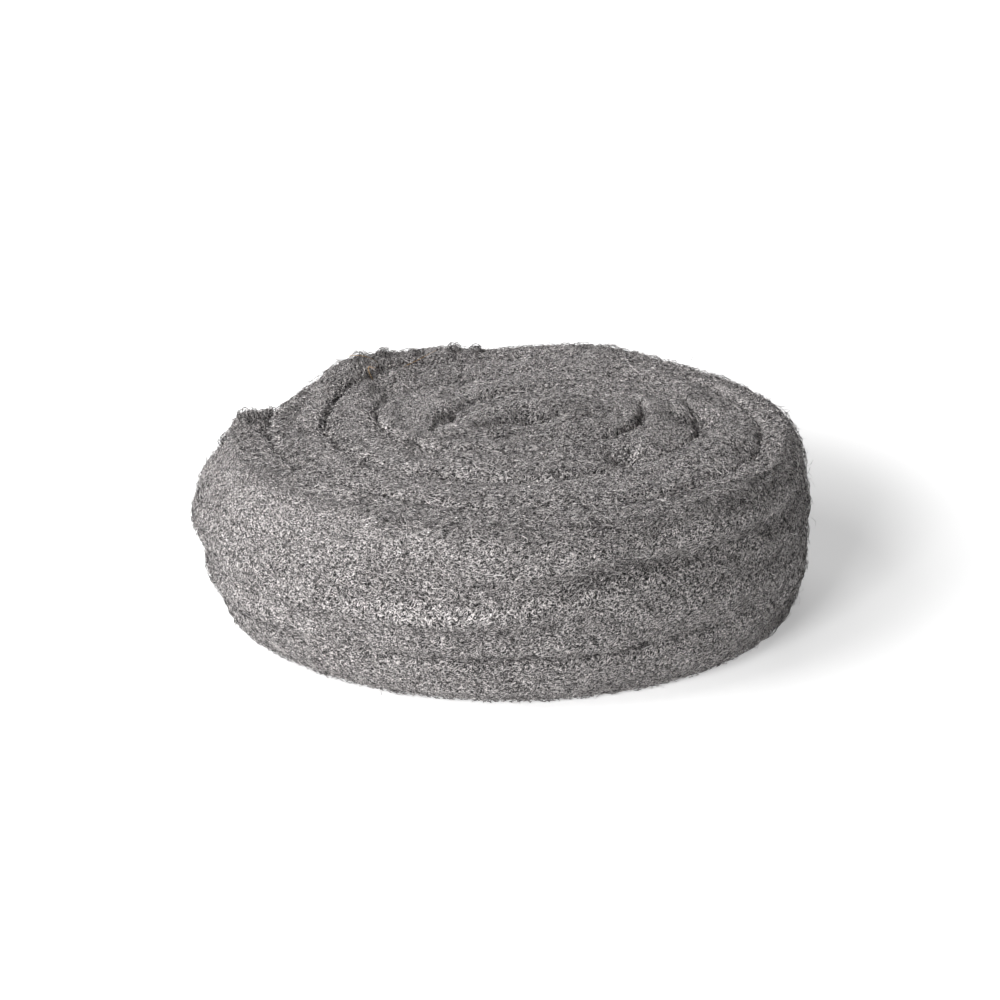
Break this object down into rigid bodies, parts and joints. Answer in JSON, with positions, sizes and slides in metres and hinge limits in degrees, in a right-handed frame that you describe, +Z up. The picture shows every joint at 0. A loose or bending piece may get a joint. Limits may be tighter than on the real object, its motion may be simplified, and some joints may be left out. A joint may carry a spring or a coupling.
{
  "type": "steel wool pad",
  "caption": "Oval pad of grey steel wool: a thick sliver of fine curled steel fibres wound flat on itself, held in the hand for scouring, rubbing down and polishing.",
  "frame": {"origin": "on the surface the pad lies on, under the middle of its box", "axes": "+Z up, +X along the longer axis of the oval; the sliver's loose end is on the -X side, seen from the -Y side"},
  "size_m": [0.1202, 0.0978, 0.0412],
  "materials": {
    "steel_wool": "rough grey mass of fine curled steel fibres with small bright glints"
  },
  "bodies": {
    "root": {"steel_wool_pad": "steel_wool"}
  },
  "joints": []
}
